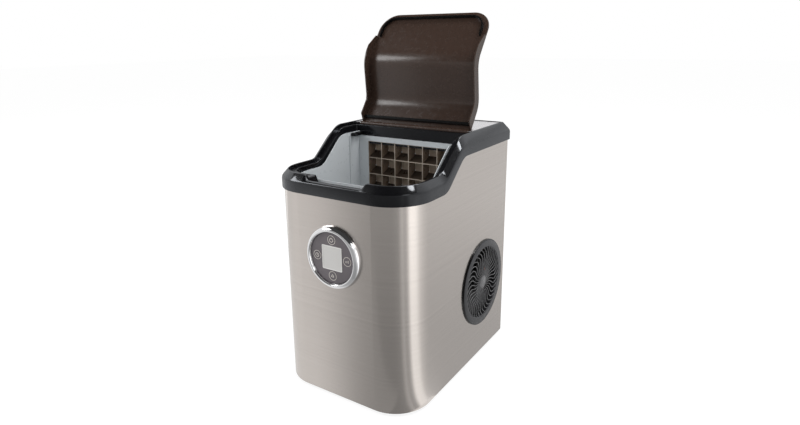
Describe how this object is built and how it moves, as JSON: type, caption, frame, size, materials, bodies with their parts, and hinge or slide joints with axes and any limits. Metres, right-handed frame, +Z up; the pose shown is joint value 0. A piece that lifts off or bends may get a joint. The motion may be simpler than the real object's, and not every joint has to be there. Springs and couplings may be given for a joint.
{
  "type": "ice maker",
  "caption": "Countertop clear-ice maker: steel cabinet, black rim, smoked lid hinged open, ice mould, basket, round control dial and side fan grille.",
  "frame": {"origin": "on the surface it stands on, under the middle of the machine's overall box", "axes": "+Z up, -Y towards the front panel, +X to the right when facing the front"},
  "size_m": [0.251, 0.336, 0.5686],
  "materials": {
    "brushed_steel": "fine horizontal brushing",
    "rim_plastic": "high gloss black",
    "lid_plastic": "smoked brown, glossy, see-through",
    "pin_steel": "plain bright steel",
    "black_rubber": "matt",
    "tray_plastic": "moulded, fine texture",
    "liner_plastic": "pale grey satin moulding",
    "basket_plastic": "frosted clear",
    "foam": "rigid insulating foam",
    "mould_plastic": "pale divider edges, brown cells",
    "copper": "drawn copper, slightly dull",
    "aluminium_fins": "mill finish",
    "hose_rubber": "milky silicone",
    "pump_plastic": "moulded",
    "chrome_plating": "mirror chrome on plastic",
    "panel_face": "satin grey",
    "display": "pale grey unlit display",
    "circuit_green": "solder mask",
    "components": "mixed small parts",
    "grille_plastic": "black satin",
    "motor_steel": "painted",
    "compressor_paint": "black enamel",
    "back_panel_steel": "dark powder coat",
    "inlet_plastic": "black moulding"
  },
  "bodies": {
    "cabinet": {"wrap_shell": "brushed_steel", "top_deck": "brushed_steel", "top_rim": "rim_plastic", "lid_hinge_pins": "pin_steel", "back_panel_screws": "pin_steel", "compressor_bolts": "pin_steel", "water_level_probes": "pin_steel", "rubber_feet": "black_rubber", "lid_bumpers": "black_rubber", "compressor_grommets": "black_rubber", "base_pan": "tray_plastic", "fan_frame": "tray_plastic", "fan_shroud": "tray_plastic", "control_housing": "tray_plastic", "control_box": "tray_plastic", "bin_liner": "liner_plastic", "basket_rails": "liner_plastic", "evaporator_frame": "liner_plastic", "ice_slide": "liner_plastic", "bin_insulation": "foam", "rear_insulation": "foam", "ice_grid": "mould_plastic", "evaporator_plate": "copper", "evaporator_coil": "copper", "condenser_tube": "copper", "discharge_line": "copper", "suction_line": "copper", "capillary": "copper", "hot_gas_lines": "copper", "filter_drier": "copper", "condenser_fins": "aluminium_fins", "condenser_end_plates": "aluminium_fins", "pump_hose": "hose_rubber", "drain_tube": "hose_rubber", "pump_housing": "pump_plastic", "water_distributor": "pump_plastic", "ice_full_sensor": "pump_plastic", "control_bezel": "chrome_plating", "control_panel": "panel_face", "display_window": "display", "display_screen": "display", "display_board": "circuit_green", "main_board": "circuit_green", "board_components": "components", "fan_grille": "grille_plastic", "fan_motor": "motor_steel", "hot_gas_valve": "motor_steel", "compressor": "compressor_paint", "compressor_plate": "compressor_paint", "back_panel": "back_panel_steel", "power_inlet": "inlet_plastic"},
    "lid": {"lid": "lid_plastic"},
    "basket": {"ice_basket": "basket_plastic"},
    "fan": {"fan_rotor": "tray_plastic"},
    "pump_wheel": {"pump_impeller": "pump_plastic"},
    "power_button": {"power_key": "panel_face"},
    "timer_button": {"timer_key": "panel_face"},
    "size_button": {"size_key": "panel_face"},
    "clean_button": {"clean_key": "panel_face"},
    "plug": {"drain_plug": "black_rubber"}
  },
  "joints": [
    {"name": "lid_hinge", "type": "hinge", "parent": "cabinet", "child": "lid", "pos_m": [0, 0.0545, 0.387], "axis": [-1, 0, 0], "range_deg": [-126, 0]},
    {"name": "basket_lift", "type": "slide", "parent": "cabinet", "child": "basket", "axis": [0, 0, 1], "range_m": [0, 0.24]},
    {"name": "fan_spin", "type": "hinge", "parent": "cabinet", "child": "fan", "pos_m": [0.108, 0.0776, 0.1324], "axis": [1, 0, 0], "continuous": true},
    {"name": "pump_spin", "type": "hinge", "parent": "cabinet", "child": "pump_wheel", "pos_m": [-0.088, 0.019, 0.039], "axis": [0, 0, 1], "continuous": true},
    {"name": "power_press", "type": "slide", "parent": "cabinet", "child": "power_button", "axis": [0, 1, 0], "range_m": [0, 0.0007], "stiffness_N_per_m": 500},
    {"name": "timer_press", "type": "slide", "parent": "cabinet", "child": "timer_button", "axis": [0, 1, 0], "range_m": [0, 0.0007], "stiffness_N_per_m": 500},
    {"name": "size_press", "type": "slide", "parent": "cabinet", "child": "size_button", "axis": [0, 1, 0], "range_m": [0, 0.0007], "stiffness_N_per_m": 500},
    {"name": "clean_press", "type": "slide", "parent": "cabinet", "child": "clean_button", "axis": [0, 1, 0], "range_m": [0, 0.0007], "stiffness_N_per_m": 500},
    {"name": "drain_pull", "type": "slide", "parent": "cabinet", "child": "plug", "axis": [0, 1, 0], "range_m": [0, 0.03]}
  ]
}
